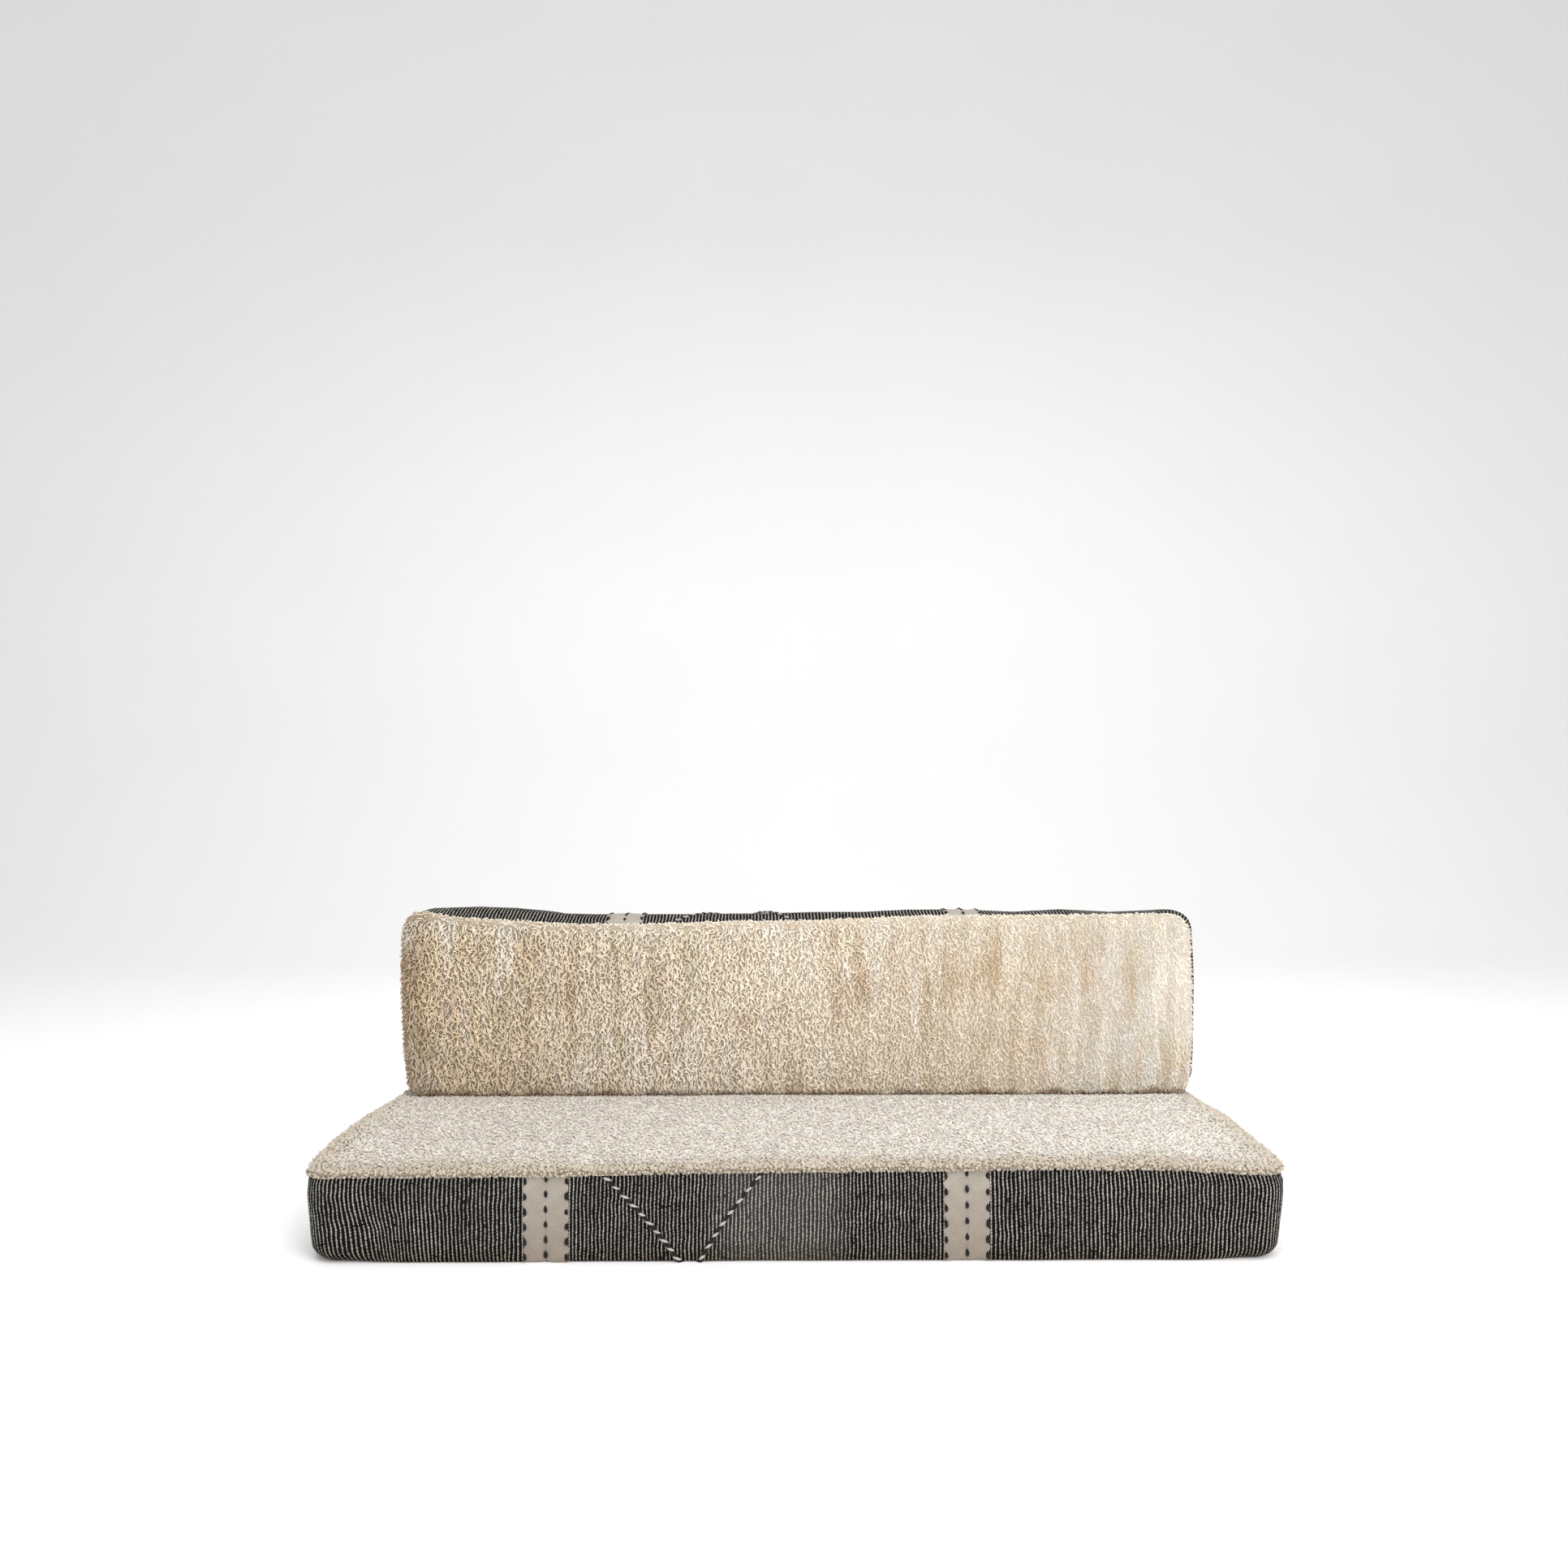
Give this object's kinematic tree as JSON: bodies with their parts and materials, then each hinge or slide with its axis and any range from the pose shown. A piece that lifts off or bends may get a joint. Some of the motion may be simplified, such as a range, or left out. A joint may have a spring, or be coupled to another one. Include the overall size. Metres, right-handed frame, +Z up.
{
  "type": "moroccan floor sofa",
  "caption": "Low floor sofa: a long seat cushion and a loose back cushion standing on it, each with a knotted wool pile face, a striped flatwoven border, canvas behind and a zip.",
  "frame": {"origin": "on the floor, at the middle of the sofa's length and depth", "axes": "+X along the sofa, to the right as seen from its front, +Y to the rear, +Z up"},
  "size_m": [2.0378, 0.7088, 0.6527],
  "materials": {
    "seat_pile": "short knotted wool pile",
    "back_pile": "long knotted wool pile",
    "striped_wool": "black and white striped flatweave",
    "white_wool": "undyed flatweave",
    "black_wool": "twined yarn",
    "canvas": "plain cotton canvas",
    "felt": "wool felt",
    "calico": "unbleached calico",
    "wadding": "soft polyester wadding",
    "foam": "upholstery foam",
    "zip_tape": "woven polyester tape",
    "zip_brass": "aged brass"
  },
  "bodies": {
    "seat": {"seat_pile_panel": "seat_pile", "seat_kilim_border": "striped_wool", "seat_white_bands": "white_wool", "seat_twined_lines": "black_wool", "seat_base_felt": "felt", "seat_rear_upper": "canvas", "seat_rear_lower": "canvas", "seat_inner_case": "calico", "seat_wadding": "wadding", "seat_foam_core": "foam", "seat_zip_tapes": "zip_tape", "seat_zip_teeth": "zip_brass", "seat_zip_top_stops": "zip_brass", "seat_zip_bottom_stop": "zip_brass"},
    "seat_zip_slider": {"seat_zip_slider": "zip_brass"},
    "seat_zip_pull": {"seat_zip_pull": "zip_brass"},
    "back": {"back_pile_panel": "back_pile", "back_kilim_border": "striped_wool", "back_white_bands": "white_wool", "back_twined_lines": "black_wool", "back_bottom_canvas": "canvas", "back_rear_upper": "canvas", "back_rear_lower": "canvas", "back_inner_case": "calico", "back_wadding": "wadding", "back_foam_core": "foam", "back_zip_tapes": "zip_tape", "back_zip_teeth": "zip_brass", "back_zip_top_stops": "zip_brass", "back_zip_bottom_stop": "zip_brass"},
    "back_zip_slider": {"back_zip_slider": "zip_brass"},
    "back_zip_pull": {"back_zip_pull": "zip_brass"}
  },
  "joints": [
    {"name": "back_lift", "type": "slide", "parent": "seat", "child": "back", "axis": [0, 0, 1], "range_m": [0, 0.3]},
    {"name": "seat_zip_run", "type": "slide", "parent": "seat", "child": "seat_zip_slider", "axis": [-1, 0, 0], "range_m": [0, 1.667], "deforming": ["seat_zip_teeth"]},
    {"name": "seat_zip_pull_turn", "type": "hinge", "parent": "seat_zip_slider", "child": "seat_zip_pull", "pos_m": [0.8358, 0.3519, 0.072], "axis": [0, 0, -1], "range_deg": [0, 175]},
    {"name": "back_zip_run", "type": "slide", "parent": "back", "child": "back_zip_slider", "axis": [-1, 0, 0], "range_m": [0, 1.667], "deforming": ["back_zip_teeth"]},
    {"name": "back_zip_pull_turn", "type": "hinge", "parent": "back_zip_slider", "child": "back_zip_pull", "pos_m": [0.8458, 0.3519, 0.29472], "axis": [0, 0, -1], "range_deg": [0, 175]}
  ]
}
